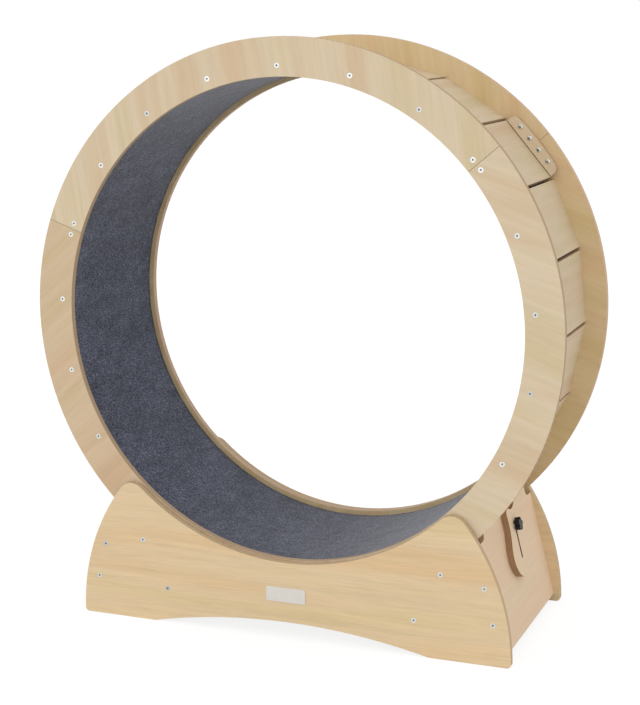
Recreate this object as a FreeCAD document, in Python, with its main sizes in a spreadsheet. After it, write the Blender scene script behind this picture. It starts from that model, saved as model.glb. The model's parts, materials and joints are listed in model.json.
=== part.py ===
"""Cat exercise wheel: a boarded, carpet-lined running wheel that turns on four rollers in a low stand.

Frame: X to the right, Y from the front ring to the back ring, Z up. The origin is on the floor, below the
wheel's centre and midway between the side panels. Lengths are millimetres and angles are degrees.

The front piece of each pair is modelled, and the back one is the same piece turned half round about Z.
Pieces of the wheel are drawn about its centre with their middle on the +X axis, and then turned to their
own angle.
"""
import FreeCAD, Part
import Sketcher
import math
import os

SIZES = [
    # The wheel
    ("wheel_radius", 500, "outer radius of the rings"),
    ("ring_depth", 68, "radial depth of a ring"),
    ("ring_thickness", 12, "plywood of the rings"),
    ("wheel_width", 340, "over the outer faces of the two rings"),
    ("floor_gap", 77, "from the floor to the lowest point of the wheel"),
    ("segment_count", 3, "segments in a ring"),
    ("seam_angle", 39.8, "first seam, from +X towards +Z"),
    ("seam_gap", 0.6, "open joint between two segments"),
    ("slats_per_segment", 7, "cross boards from one seam to the next"),
    ("slat_set", 43, "from a ring's rim to the outer face of a board"),
    ("slat_thickness", 12, "plywood of the cross boards"),
    ("slat_gap", 2.8, "between neighbouring boards, at their inner faces"),
    ("carpet_thickness", 4.7, "felt carpet"),
    ("carpet_gap", 0.25, "glue line behind the carpet, and clearance at its edges"),
    # Joiner plates over the seams
    ("joiner_width", 130, "length of a joiner plate"),
    ("joiner_thickness", 12, "plywood of the joiner plates"),
    ("joiner_gap", 1.3, "between a joiner plate and the board below it"),
    ("joiner_inset", 19.5, "from a ring's rim to the curved edge of a joiner plate"),
    ("joiner_corner", 12, "corner radius of a joiner plate"),
    ("joiner_screw_pairs", 2, "pan-head screws on each side of a seam"),
    ("joiner_screw_pitch", 27, "between the pan-head screws"),
    ("joiner_screw_inset", 12.2, "from the straight edge to the row of pan-head screws"),
    # Screws
    ("screw_shank", 4, "diameter of every wood screw"),
    ("screw_clearance", 0.4, "on the diameter of a clearance hole or a countersink"),
    ("screw_tip", 5, "length of a screw's point"),
    ("screw_head", 9.5, "diameter of a countersunk head"),
    ("ring_screw_length", 35, "countersunk screw in a ring"),
    ("panel_screw_length", 40, "countersunk screw in a side panel"),
    ("seam_screw_pitch", 21.6, "between the two ring screws beside a seam"),
    ("pan_head", 9.5, "diameter of a pan head"),
    ("pan_height", 2.8, "height of a pan head"),
    ("pan_screw_length", 20, "pan-head screw, under the head"),
    ("recess_width", 1.3, "arm of a cross recess"),
    ("recess_length", 4.6, "across a cross recess"),
    ("recess_depth", 1.6, "depth of a cross recess"),
    # Side panels
    ("side_gap", 3, "running gap between a ring and its side panel"),
    ("panel_thickness", 12, "plywood of the side panels"),
    ("panel_length", 838, "side panel, over its feet"),
    ("flank_radius", 403.5, "convex end of a side panel"),
    ("flank_rise", 4.3, "centre of that curve above the floor"),
    ("seat_step", 2, "the panel's seat arc is this much larger than the ring's inner edge"),
    ("peak_radius", 29, "rounded peak of a side panel"),
    ("foot_length", 149, "flat foot at each end of a side panel"),
    ("foot_corner", 8, "outer corner of a foot"),
    ("arch_height", 30.5, "arch between the feet"),
    # End panels and cross rails
    ("end_foot", 411, "from the middle to an end panel's outer face, at floor level"),
    ("end_lean", 14, "lean of an end panel towards the wheel"),
    ("end_thickness", 12, "plywood of the end panels"),
    ("end_rise", 16, "lower edge of an end panel, up its slope from the floor"),
    ("end_height", 234, "height of an end panel along its slope"),
    ("notch_width", 33, "notch for a ring and its joiner plates"),
    ("notch_depth", 30, "depth of that notch, down the slope"),
    ("notch_corner", 12, "corner radius in the notch and beside it"),
    ("end_screw_low", 78.8, "lower panel screw, up the slope from the floor"),
    ("end_screw_high", 145.3, "upper panel screw, up the slope from the floor"),
    ("rail_offset", 242, "cross rail, from the middle"),
    ("rail_height", 66, "centre of a cross rail above the floor"),
    ("rail_width", 24, "cross rail, along X"),
    ("rail_depth", 36, "cross rail, upwards"),
    # Rollers
    ("roller_radius", 11.7, "roller"),
    ("roller_width", 12, "roller"),
    ("roller_gap", 0.3, "between a roller and the rim it carries"),
    ("roller_angle", 34.6, "roller, from straight below the wheel's centre"),
    ("race_outer", 9.2, "outer radius of the recess in a roller's faces"),
    ("race_inner", 5.8, "inner radius of that recess"),
    ("race_depth", 1.2, "depth of that recess"),
    ("shaft_diameter", 8, "roller shaft"),
    ("bore_clearance", 0.05, "running clearance on the radius of a bore"),
    ("end_play", 0.3, "running clearance beside what turns or slides"),
    ("spacer_diameter", 12, "spacer between a roller and the side panel"),
    ("collar_diameter", 15, "collar on the inner side of a roller"),
    ("collar_length", 6, "collar on the inner side of a roller"),
    # Brake
    ("brake_gap", 1, "between the brake plate and the end panel"),
    ("brake_thickness", 12, "plywood of the brake plate"),
    ("bulb_radius", 46, "round lower end of the brake plate"),
    ("bulb_rise", 154, "its centre, up the slope from the floor"),
    ("neck_width", 63, "narrowest part of the brake plate"),
    ("neck_rise", 213, "height of the narrowest part, up the slope"),
    ("brake_top", 240, "top of the brake plate, up the slope"),
    ("hollow_width", 36, "hollow in the top edge"),
    ("hollow_depth", 5.7, "hollow in the top edge"),
    ("ear_corner", 9.5, "outer top corners of the brake plate"),
    ("slot_length", 61, "between the end centres of the slot"),
    ("slot_width", 6.6, "slot"),
    ("stud_diameter", 6, "stud that the knob turns on"),
    ("stud_rise", 204.5, "stud, up the slope from the floor"),
    ("stud_head", 16, "flat head on the inner face of the end panel"),
    ("stud_head_thickness", 1.5, "flat head on the inner face of the end panel"),
    ("washer_diameter", 18, "washers on the stud"),
    ("washer_thickness", 1.2, "washer below the knob"),
    ("knob_diameter", 25, "across the lobes of the knob"),
    ("knob_waist", 18.4, "across the hollows between the lobes"),
    ("knob_height", 10, "knob"),
    ("knob_cap", 2.5, "thickness of the knob over the end of the stud"),
    ("knob_lobes", 5, "lobes"),
    ("lobe_radius", 4.4, "one lobe"),
    # Nameplate
    ("nameplate_length", 77, "nameplate"),
    ("nameplate_height", 27.5, "nameplate"),
    ("nameplate_thickness", 1.5, "nameplate"),
    ("nameplate_corner", 2, "corner of the nameplate"),
    ("nameplate_rise", 82.5, "centre of the nameplate above the floor"),
    ("nameplate_shift", -2, "centre of the nameplate, along X"),
]

# Places that follow from the sizes.
PLACES = [
    ("centre_height", "Sizes.wheel_radius + Sizes.floor_gap"),
    ("half_width", "Sizes.wheel_width / 2"),
    ("ring_inner", "Sizes.wheel_radius - Sizes.ring_depth"),
    ("board_half", "Sizes.wheel_width / 2 - Sizes.ring_thickness"),
    ("segment_half", "180 / Sizes.segment_count"),
    ("slat_pitch", "360 / Sizes.segment_count / Sizes.slats_per_segment"),
    ("slat_outer", "Sizes.wheel_radius - Sizes.slat_set"),
    ("slat_inner", "Sizes.wheel_radius - Sizes.slat_set - Sizes.slat_thickness"),
    ("slat_middle", "Sizes.wheel_radius - Sizes.slat_set - Sizes.slat_thickness / 2"),
    ("slat_width", "2 * slat_inner * tan(slat_pitch / 2) - Sizes.slat_gap"),
    ("carpet_outer", "slat_inner - Sizes.carpet_gap"),
    ("slat_pilot", "Sizes.ring_screw_length - Sizes.ring_thickness"),
    ("screw_hole", "Sizes.screw_shank + Sizes.screw_clearance"),
    ("screw_sink", "Sizes.screw_head + Sizes.screw_clearance"),
    ("joiner_inner", "slat_outer + Sizes.joiner_gap"),
    ("joiner_outer", "Sizes.wheel_radius - Sizes.joiner_inset"),
    ("joiner_row", "joiner_inner + Sizes.joiner_screw_inset"),
    ("joiner_pilot", "Sizes.pan_screw_length - Sizes.joiner_thickness"),
    ("panel_inner", "half_width + Sizes.side_gap"),
    ("panel_outer", "half_width + Sizes.side_gap + Sizes.panel_thickness"),
    ("panel_half", "Sizes.panel_length / 2"),
    ("panel_pilot", "Sizes.panel_screw_length - Sizes.panel_thickness"),
    ("arch_half", "Sizes.panel_length / 2 - Sizes.foot_length"),
    ("arch_radius", "(arch_half ^ 2 + Sizes.arch_height ^ 2) / (2 * Sizes.arch_height)"),
    ("flank_x", "panel_half - sqrt(Sizes.flank_radius ^ 2 - Sizes.flank_rise ^ 2)"),
    ("seat_radius", "ring_inner + Sizes.seat_step"),
    ("end_half", "panel_inner"),
    ("end_top", "Sizes.end_rise + Sizes.end_height"),
    ("notch_floor", "end_top - Sizes.notch_depth"),
    ("tongue_half", "end_half - Sizes.notch_width"),
    ("end_middle_x", "Sizes.end_foot - Sizes.end_thickness / 2 * cos(Sizes.end_lean)"),
    ("end_middle_z", "-Sizes.end_thickness / 2 * sin(Sizes.end_lean)"),
    ("low_screw_x", "end_middle_x - Sizes.end_screw_low * sin(Sizes.end_lean)"),
    ("low_screw_z", "end_middle_z + Sizes.end_screw_low * cos(Sizes.end_lean)"),
    ("high_screw_x", "end_middle_x - Sizes.end_screw_high * sin(Sizes.end_lean)"),
    ("high_screw_z", "end_middle_z + Sizes.end_screw_high * cos(Sizes.end_lean)"),
    ("roller_orbit", "Sizes.wheel_radius + Sizes.roller_gap + Sizes.roller_radius"),
    ("roller_x", "roller_orbit * sin(Sizes.roller_angle)"),
    ("roller_z", "centre_height - roller_orbit * cos(Sizes.roller_angle)"),
    ("roller_side", "half_width - (Sizes.ring_thickness - Sizes.roller_width) / 2"),
    ("spacer_length", "panel_inner - roller_side - Sizes.end_play"),
    ("collar_side", "roller_side - Sizes.roller_width - Sizes.end_play"),
    ("shaft_bore", "Sizes.shaft_diameter / 2 + Sizes.bore_clearance"),
    ("neck_half", "Sizes.neck_width / 2"),
    ("waist_drop", "Sizes.neck_rise - Sizes.bulb_rise"),
    ("waist_overlap", "Sizes.bulb_radius - neck_half"),
    ("waist_radius", "(neck_half ^ 2 + waist_drop ^ 2 - Sizes.bulb_radius ^ 2) / (2 * waist_overlap)"),
    ("waist_x", "neck_half + waist_radius"),
    ("ear_x", "waist_x - sqrt(waist_radius ^ 2 - (Sizes.brake_top - Sizes.neck_rise) ^ 2)"),
    ("hollow_half", "Sizes.hollow_width / 2"),
    ("hollow_radius", "(hollow_half ^ 2 + Sizes.hollow_depth ^ 2) / (2 * Sizes.hollow_depth)"),
    ("slot_top", "Sizes.stud_rise + (Sizes.slot_width - Sizes.stud_diameter) / 2"),
    ("slot_bottom", "slot_top - Sizes.slot_length"),
    ("slot_half", "Sizes.slot_width / 2"),
    ("brake_face", "Sizes.brake_gap + Sizes.brake_thickness + Sizes.end_play"),
    ("knob_base", "brake_face + Sizes.washer_thickness + Sizes.end_play"),
    ("knob_bore", "Sizes.knob_height - Sizes.knob_cap"),
    ("stud_end", "knob_base + knob_bore - Sizes.end_play"),
    ("lobe_orbit", "Sizes.knob_diameter / 2 - Sizes.lobe_radius"),
]

V = FreeCAD.Vector
Placement = FreeCAD.Placement
Rotation = FreeCAD.Rotation
X_AXIS, Y_AXIS, Z_AXIS = V(1, 0, 0), V(0, 1, 0), V(0, 0, 1)
START, END, CENTRE = 1, 2, 3
ORIGIN, X_LINE = -1, -1
UPRIGHT = Placement()
HALF_TURN = Placement(V(0, 0, 0), Rotation(Z_AXIS, 180))
SIDES = {"front": UPRIGHT, "back": HALF_TURN}
ENDS = {"right": UPRIGHT, "left": HALF_TURN}

doc = FreeCAD.newDocument("CatWheel")
subparts = []


# ------------------------------------------------------------------ sizes and places

def fill_sheet(name, rows):
    """A sheet with one named cell in each row."""
    sheet = doc.addObject("Spreadsheet::Sheet", name)
    for number, (alias, content, *meaning) in enumerate(rows, start=1):
        sheet.set("A%d" % number, " ".join([alias] + meaning))
        sheet.set("B%d" % number, str(content))
        sheet.setAlias("B%d" % number, alias)
    return sheet


sizes = fill_sheet("Sizes", SIZES)
places = fill_sheet("Places", [(alias, "=" + formula) for alias, formula in PLACES])
doc.recompute()


def value(formula):
    """The number that a formula over the two sheets gives now."""
    return float(places.evalExpression(formula))


def on_wheel(angle, y="0"):
    """The wheel's centre, turned by angle from +X towards +Z."""
    return Placement(V(0, value(y), value("centre_height")), Rotation(Y_AXIS, -angle))


def on_end(out="0", up="0"):
    """The outer face of the right-hand end panel: out of the face, and up its slope from floor level.

    The axes there are x across the stand, z up the slope and -y out of the face."""
    face = Placement(V(value("Sizes.end_foot"), 0, 0), Rotation(Y_AXIS, -value("Sizes.end_lean")))
    across = Placement(V(0, 0, 0), Rotation(Z_AXIS, 90))
    return face.multiply(across).multiply(Placement(V(0, -value(out), value(up)), Rotation()))


def seam_angles(side):
    """The seams' angles in the frame of one side. Both rings have their seams in line."""
    first = value("Sizes.seam_angle")
    if side == "back":
        first = 180 - first
    return [first + k * 2 * value("segment_half") for k in range(round(value("Sizes.segment_count")))]


# ------------------------------------------------------------------ document objects

def bind(thing, **formulas):
    """Bind properties to the sheets. A formula names cells of Places as they are, those of Sizes in full."""
    for prop, formula in formulas.items():
        thing.setExpression(prop, in_places(formula))
    return thing


def in_places(formula):
    """Put the sheet's name before each cell of Places, because only the sheet itself may leave it out."""
    words = []
    for word in split_words(formula):
        words.append("Places." + word if word in PLACE_NAMES else word)
    return "".join(words)


def split_words(formula):
    """Names, with their dots, and everything between them."""
    words = [""]
    for letter in formula:
        part_of_name = letter.isalnum() or letter in "._"
        if words[-1] and part_of_name != (words[-1][-1].isalnum() or words[-1][-1] in "._"):
            words.append("")
        words[-1] += letter
    return words


PLACE_NAMES = {alias for alias, _ in PLACES}


def primitive(kind, name, place=UPRIGHT, x=None, y=None, z=None, **formulas):
    """A Part primitive in a turned place, with its base point and its sizes bound to the sheets."""
    shape = doc.addObject("Part::" + kind, name)
    shape.Placement = place
    for axis, formula in (("x", x), ("y", y), ("z", z)):
        if formula is not None:
            shape.setExpression("Placement.Base." + axis, in_places(formula))
    return bind(shape, **formulas)


def along_y(name, x, y, z, length, radius, direction=1):
    """A cylinder from (x, y, z) towards +Y, or towards -Y with direction -1."""
    turned = Placement(V(0, 0, 0), Rotation(X_AXIS, -90 * direction))
    return primitive("Cylinder", name, turned, x=x, y=y, z=z, Height=length, Radius=radius)


def fuse(name, pieces):
    result = doc.addObject("Part::MultiFuse", name)
    result.Shapes = pieces
    return result


def cut(name, base, tools):
    """The base less all its tools."""
    result = doc.addObject("Part::Cut", name)
    result.Base = base
    result.Tool = fuse(name + "_tools", tools) if len(tools) > 1 else tools[0]
    return result


def finish(thing, label, place=UPRIGHT):
    """Name a sub-part and put it in its place."""
    thing.Label = label
    thing.Placement = place
    subparts.append(thing)
    return thing


def group(label, copies):
    """Identical separate solids in one sub-part, as linked copies: a list of (source, place)."""
    links = []
    for number, (source, place) in enumerate(copies, start=1):
        link = doc.addObject("App::Link", "%s_%02d" % (label, number))
        link.LinkedObject = source
        link.Placement = place
        links.append(link)
    bundle = doc.addObject("Part::Compound", label)
    bundle.Links = links
    return finish(bundle, label)


# ------------------------------------------------------------------ bodies and sketches

def new_sketch(body, name, offset="0"):
    """A sketch on the body's own XZ plane. Its normal is -Y, and offset moves it that way."""
    plane = [feature for feature in body.Origin.OriginFeatures if feature.Role == "XZ_Plane"][0]
    sketch = body.newObject("Sketcher::SketchObject", name)
    sketch.AttachmentSupport = [(plane, "")]
    sketch.MapMode = "FlatFace"
    return bind(sketch, **{"AttachmentOffset.Base.z": offset})


def dimension(sketch, kind, *geometry, to):
    """A dimensional constraint whose value is bound to the sheets."""
    index = sketch.addConstraint(Sketcher.Constraint(kind, *geometry, value(to)))
    sketch.setExpression("Constraints[%d]" % index, in_places(to))


def fix_point(sketch, geometry, point, x, z):
    """Bind both coordinates of a point."""
    dimension(sketch, "DistanceX", ORIGIN, START, geometry, point, to=x)
    dimension(sketch, "DistanceY", ORIGIN, START, geometry, point, to=z)


def spot(x, z):
    """A point of a sketch, from two formulas."""
    return V(value(x), value(z), 0)


def line(start, end):
    return Part.LineSegment(start, end)


def arc(centre, start, end):
    """The anticlockwise arc about centre from start to end."""
    circle = Part.Circle(centre, Z_AXIS, (start - centre).Length)
    first = math.atan2(start.y - centre.y, start.x - centre.x)
    last = math.atan2(end.y - centre.y, end.x - centre.x)
    if last <= first:
        last += 2 * math.pi
    return Part.ArcOfCircle(circle, first, last)


def outline(sketch, pieces):
    """A closed outline of (curve, sense, joint), and the curves' numbers.

    Sense -1 follows an arc clockwise. Joint is how its end meets the next, "Coincident" or "Tangent"."""
    ends = []
    for curve, sense, joint in pieces:
        index = sketch.addGeometry(curve)
        ends.append((index, START, END, joint) if sense > 0 else (index, END, START, joint))
    for (index, _, last, joint), (following, first, _, _) in zip(ends, ends[1:] + ends[:1]):
        sketch.addConstraint(Sketcher.Constraint(joint, index, last, following, first))
    return [index for index, *_ in ends]


def polygon(sketch, corners):
    """A closed outline of straight lines through corners given as pairs of formulas."""
    points = [spot(x, z) for x, z in corners]
    sides = [line(start, end) for start, end in zip(points, points[1:] + points[:1])]
    numbers = outline(sketch, [(side, 1, "Coincident") for side in sides])
    for number, (x, z) in zip(numbers, corners):
        fix_point(sketch, number, START, x, z)


def pad(body, name, sketch, length):
    feature = body.newObject("PartDesign::Pad", name)
    feature.Profile = sketch
    return bind(feature, Length=length)


def round_corners(body, name, base, radius, corners):
    """Round the edges along Y that stand on the given points."""
    doc.recompute()
    names = []
    for number, edge in enumerate(base.Shape.Edges, start=1):
        ends = [vertex.Point for vertex in edge.Vertexes]
        for corner in corners:
            if len(ends) == 2 and all(math.hypot(end.x - corner.x, end.z - corner.y) < 1e-3 for end in ends):
                names.append("Edge%d" % number)
    if len(names) != len(corners):
        raise ValueError("%s: %d of %d corners found" % (name, len(names), len(corners)))
    fillet = body.newObject("PartDesign::Fillet", name)
    fillet.Base = (base, names)
    return bind(fillet, Radius=radius)


def drill(body, name, spots, diameter, offset="0", reverse=False, sink=None, depth=None):
    """Holes at spots given as pairs of formulas: through or to a depth, plain or countersunk.

    They start at offset along -Y and run towards +Y, or towards -Y in reverse."""
    sketch = new_sketch(body, name + "_spots", offset)
    for x, z in spots:
        index = sketch.addGeometry(Part.Circle(spot(x, z), Z_AXIS, value(diameter) / 2))
        fix_point(sketch, index, CENTRE, x, z)
        dimension(sketch, "Radius", index, to="(%s) / 2" % diameter)
    doc.recompute()
    hole = body.newObject("PartDesign::Hole", name)
    hole.Profile = sketch
    doc.recompute()
    hole.Threaded = False
    hole.DrillPoint = "Flat"
    hole.Reversed = reverse
    hole.DepthType = "Dimension" if depth else "ThroughAll"
    bind(hole, Diameter=diameter)
    if depth:
        bind(hole, Depth=depth)
    if sink:
        hole.HoleCutType = "Countersink"
        hole.HoleCutCustomValues = True
        hole.HoleCutCountersinkAngle = 90
        bind(hole, HoleCutDiameter=sink)
    return hole


def turned_spot(radius, offset, angle):
    """The formulas of a point at a radius on the +X axis and an offset along Z, turned by angle."""
    x = "(%s) * cos(%s) - (%s) * sin(%s)" % (radius, angle, offset, angle)
    z = "(%s) * sin(%s) + (%s) * cos(%s)" % (radius, angle, offset, angle)
    return x, z


def circle_meeting(first, first_radius, second, second_radius):
    """The left of the two points where circles meet, as seen from the first centre towards the second."""
    apart = second - first
    along = (apart.Length ** 2 + first_radius ** 2 - second_radius ** 2) / (2 * apart.Length)
    aside = math.sqrt(first_radius ** 2 - along ** 2)
    ahead = apart.normalize()
    return first + ahead * along + V(-ahead.y, ahead.x, 0) * aside


# ------------------------------------------------------------------ screws

def cross_recess(name, top):
    """Two crossed bars, sunk below the height given."""
    bars = []
    long, narrow = "Sizes.recess_length", "Sizes.recess_width"
    for number, (length, width) in enumerate([(long, narrow), (narrow, long)]):
        bars.append(primitive("Box", "%s_bar_%d" % (name, number), x="-%s / 2" % length, y="-%s / 2" % width,
                              z="%s - Sizes.recess_depth" % top, Length=length, Width=width,
                              Height="Sizes.recess_depth"))
    return bars


def shank(name, length, start="0"):
    """A pointed shank that runs down from a height."""
    plain = primitive("Cylinder", name + "_shank", z="Sizes.screw_tip - %s" % length,
                      Radius="Sizes.screw_shank / 2", Height="%s - Sizes.screw_tip + %s" % (length, start))
    tip = primitive("Cone", name + "_tip", z="-%s" % length, Radius1="Sizes.screw_shank / 8",
                    Radius2="Sizes.screw_shank / 2", Height="Sizes.screw_tip")
    return [plain, tip]


def countersunk_screw(name, length):
    """A screw along -Z with its flat head's top at the origin."""
    cone_height = "(Sizes.screw_head - Sizes.screw_shank) / 2"
    head = primitive("Cone", name + "_head", z="-" + cone_height, Height=cone_height,
                     Radius1="Sizes.screw_shank / 2", Radius2="Sizes.screw_head / 2")
    solid = fuse(name + "_solid", [head] + shank(name, length, "-" + cone_height))
    return cut(name, solid, cross_recess(name, "0"))


def pan_head_screw(name):
    """A screw along -Z with its domed head standing on the origin."""
    dome_radius = "((Sizes.pan_head / 2) ^ 2 + Sizes.pan_height ^ 2) / (2 * Sizes.pan_height)"
    disc = primitive("Cylinder", name + "_disc", Radius="Sizes.pan_head / 2", Height="Sizes.pan_height")
    ball = primitive("Sphere", name + "_ball", z="Sizes.pan_height - " + dome_radius, Radius=dome_radius)
    head = doc.addObject("Part::Common", name + "_head")
    head.Base = disc
    head.Tool = ball
    solid = fuse(name + "_solid", [head] + shank(name, "Sizes.pan_screw_length"))
    return cut(name, solid, cross_recess(name, "Sizes.pan_height"))


ring_screw = countersunk_screw("ring_screw", "Sizes.ring_screw_length")
panel_screw = countersunk_screw("panel_screw", "Sizes.panel_screw_length")
joiner_screw = pan_head_screw("joiner_screw")
TOWARDS_BACK = Rotation(X_AXIS, 90)
TOWARDS_FRONT = Rotation(X_AXIS, -90)


# ------------------------------------------------------------------ the wheel

SEAM_SCREWS = ["-Sizes.seam_screw_pitch / 2", "Sizes.seam_screw_pitch / 2"]


def joiner_screw_offsets():
    """Along a joiner plate, on the positive side of the seam."""
    pairs = round(value("Sizes.joiner_screw_pairs"))
    return ["%g * Sizes.joiner_screw_pitch" % (k + 0.5) for k in range(pairs)]


def ring_segment(label, place):
    """One segment of a ring, with its middle on +X, its inner face at y = 0 and its outer face towards -Y."""
    body = doc.addObject("PartDesign::Body", label)
    sketch = new_sketch(body, label + "_sketch")
    half, gap = value("segment_half"), value("Sizes.seam_gap") / 2

    def corner(radius, side):
        angle = math.radians(half) - math.asin(gap / radius)
        return V(radius * math.cos(angle), side * radius * math.sin(angle), 0)

    outer, inner = value("Sizes.wheel_radius"), value("ring_inner")
    rim = arc(V(0, 0, 0), corner(outer, -1), corner(outer, 1))
    bore = arc(V(0, 0, 0), corner(inner, -1), corner(inner, 1))
    upper = line(corner(outer, 1), corner(inner, 1))
    lower = line(corner(inner, -1), corner(outer, -1))
    rim_n, upper_n, bore_n, _ = outline(sketch, [
        (rim, 1, "Coincident"), (upper, 1, "Coincident"), (bore, -1, "Coincident"), (lower, 1, "Coincident")])
    for number, radius in ((rim_n, "Sizes.wheel_radius"), (bore_n, "ring_inner")):
        sketch.addConstraint(Sketcher.Constraint("Coincident", number, CENTRE, ORIGIN, START))
        dimension(sketch, "Radius", number, to=radius)
        sketch.addConstraint(Sketcher.Constraint("Symmetric", number, START, number, END, X_LINE))
    sketch.addConstraint(Sketcher.Constraint("Parallel", upper_n, seam_ray(sketch)))
    dimension(sketch, "Distance", ORIGIN, START, upper_n, to="Sizes.seam_gap / 2")
    pad(body, label + "_pad", sketch, "Sizes.ring_thickness")

    slats = round(value("Sizes.slats_per_segment"))
    screws = [turned_spot("slat_middle", "0", "%d * slat_pitch - segment_half" % k) for k in range(1, slats)]
    screws.append(turned_spot("slat_middle", SEAM_SCREWS[1], "-segment_half"))
    screws.append(turned_spot("slat_middle", SEAM_SCREWS[0], "segment_half"))
    drill(body, label + "_screws", screws, "screw_hole", "Sizes.ring_thickness", sink="screw_sink")
    pilots = []
    for offset in joiner_screw_offsets():
        pilots.append(turned_spot("joiner_row", offset, "-segment_half"))
        pilots.append(turned_spot("joiner_row", "-" + offset, "segment_half"))
    drill(body, label + "_pilots", pilots, "Sizes.screw_shank", reverse=True, depth="joiner_pilot")
    return finish(body, label, place)


def seam_ray(sketch):
    """A construction line from the centre along the segment's upper seam."""
    end = turned_spot("Sizes.wheel_radius", "0", "segment_half")
    number = sketch.addGeometry(line(V(0, 0, 0), spot(*end)), True)
    sketch.addConstraint(Sketcher.Constraint("Coincident", number, START, ORIGIN, START))
    fix_point(sketch, number, END, *end)
    return number


def slat(label, angle, screw_offsets):
    """A cross board, with a pilot hole in each end for each ring screw."""
    board = primitive("Box", label + "_board", x="slat_inner", y="-board_half", z="-slat_width / 2",
                      Length="Sizes.slat_thickness", Width="2 * board_half", Height="slat_width")
    pilots = []
    for number, offset in enumerate(screw_offsets):
        for end, direction in (("-board_half", 1), ("board_half", -1)):
            name = "%s_pilot_%d_%s" % (label, number, "front" if direction > 0 else "back")
            pilots.append(along_y(name, "slat_middle", end, offset, "slat_pilot", "Sizes.screw_shank / 2",
                                  direction))
    return finish(cut(label, board, pilots), label, on_wheel(angle))


def carpet():
    """The lining: a closed band glued inside the boards."""
    length, start = "2 * (board_half - Sizes.carpet_gap)", "Sizes.carpet_gap - board_half"
    outer = along_y("carpet_outer_face", "0", start, "0", length, "carpet_outer")
    inner = along_y("carpet_inner_face", "0", start, "0", length, "carpet_outer - Sizes.carpet_thickness")
    return finish(cut("running_carpet", outer, [inner]), "running_carpet", on_wheel(0))


def joiner_plate(label, place):
    """A plate over a seam on +X, its free face at y = 0 and its glued face towards -Y."""
    body = doc.addObject("PartDesign::Body", label)
    sketch = new_sketch(body, label + "_sketch")
    inner, half, radius = value("joiner_inner"), value("Sizes.joiner_width / 2"), value("joiner_outer")
    tip = math.sqrt(radius ** 2 - half ** 2)
    edge = line(V(inner, half, 0), V(inner, -half, 0))
    lower = line(V(inner, -half, 0), V(tip, -half, 0))
    rim = arc(V(0, 0, 0), V(tip, -half, 0), V(tip, half, 0))
    upper = line(V(tip, half, 0), V(inner, half, 0))
    pieces = [(piece, 1, "Coincident") for piece in (edge, lower, rim, upper)]
    edge_n, lower_n, rim_n, upper_n = outline(sketch, pieces)
    fix_point(sketch, edge_n, START, "joiner_inner", "Sizes.joiner_width / 2")
    fix_point(sketch, edge_n, END, "joiner_inner", "-Sizes.joiner_width / 2")
    sketch.addConstraint(Sketcher.Constraint("Horizontal", lower_n))
    sketch.addConstraint(Sketcher.Constraint("Horizontal", upper_n))
    sketch.addConstraint(Sketcher.Constraint("Coincident", rim_n, CENTRE, ORIGIN, START))
    dimension(sketch, "Radius", rim_n, to="joiner_outer")
    plate = pad(body, label + "_pad", sketch, "Sizes.joiner_thickness")
    round_corners(body, label + "_corners", plate, "Sizes.joiner_corner", [V(tip, half, 0), V(tip, -half, 0)])
    offsets = [sign + offset for offset in joiner_screw_offsets() for sign in ("", "-")]
    drill(body, label + "_holes", [("joiner_row", offset) for offset in offsets], "screw_hole",
          "Sizes.joiner_thickness")
    return finish(body, label, place)


def build_wheel():
    segment_half, pitch = value("segment_half"), value("slat_pitch")
    slats = round(value("Sizes.slats_per_segment * Sizes.segment_count"))
    per_segment = round(value("Sizes.slats_per_segment"))
    first = seam_angles("front")[0]
    for side, turn in SIDES.items():
        for number, seam in enumerate(seam_angles(side), start=1):
            place = turn.multiply(on_wheel(seam + segment_half, "-board_half"))
            ring_segment("%s_ring_segment_%d" % (side, number), place)
    for k in range(slats):
        offsets = ["0"] if k % per_segment else SEAM_SCREWS
        slat("slat_%02d" % (k + 1), first + pitch * k, offsets)
    carpet()

    screw_offsets = [value(offset) for offset in joiner_screw_offsets()]
    joiner_screws = []
    for side, turn in SIDES.items():
        for number, seam in enumerate(seam_angles(side), start=1):
            place = turn.multiply(on_wheel(seam, "Sizes.joiner_thickness - board_half"))
            joiner_plate("%s_joiner_plate_%d" % (side, number), place)
            for offset in screw_offsets + [-offset for offset in screw_offsets]:
                spot_place = Placement(V(value("joiner_row"), 0, offset), TOWARDS_FRONT)
                joiner_screws.append((joiner_screw, place.multiply(spot_place)))
    group("joiner_screws", joiner_screws)

    for side, turn in SIDES.items():
        ring_screws = []
        seam = seam_angles(side)[0]
        for k in range(slats):
            place = turn.multiply(on_wheel(seam + pitch * k))
            for offset in ["0"] if k % per_segment else SEAM_SCREWS:
                head = V(value("slat_middle"), -value("half_width"), value(offset))
                ring_screws.append((ring_screw, place.multiply(Placement(head, TOWARDS_BACK))))
        group("%s_ring_screws" % side, ring_screws)


# ------------------------------------------------------------------ the stand

PANEL_SCREWS = [("high_screw_x", "high_screw_z"), ("low_screw_x", "low_screw_z"), ("roller_x", "roller_z"),
                ("Sizes.rail_offset", "Sizes.rail_height")]


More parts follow.
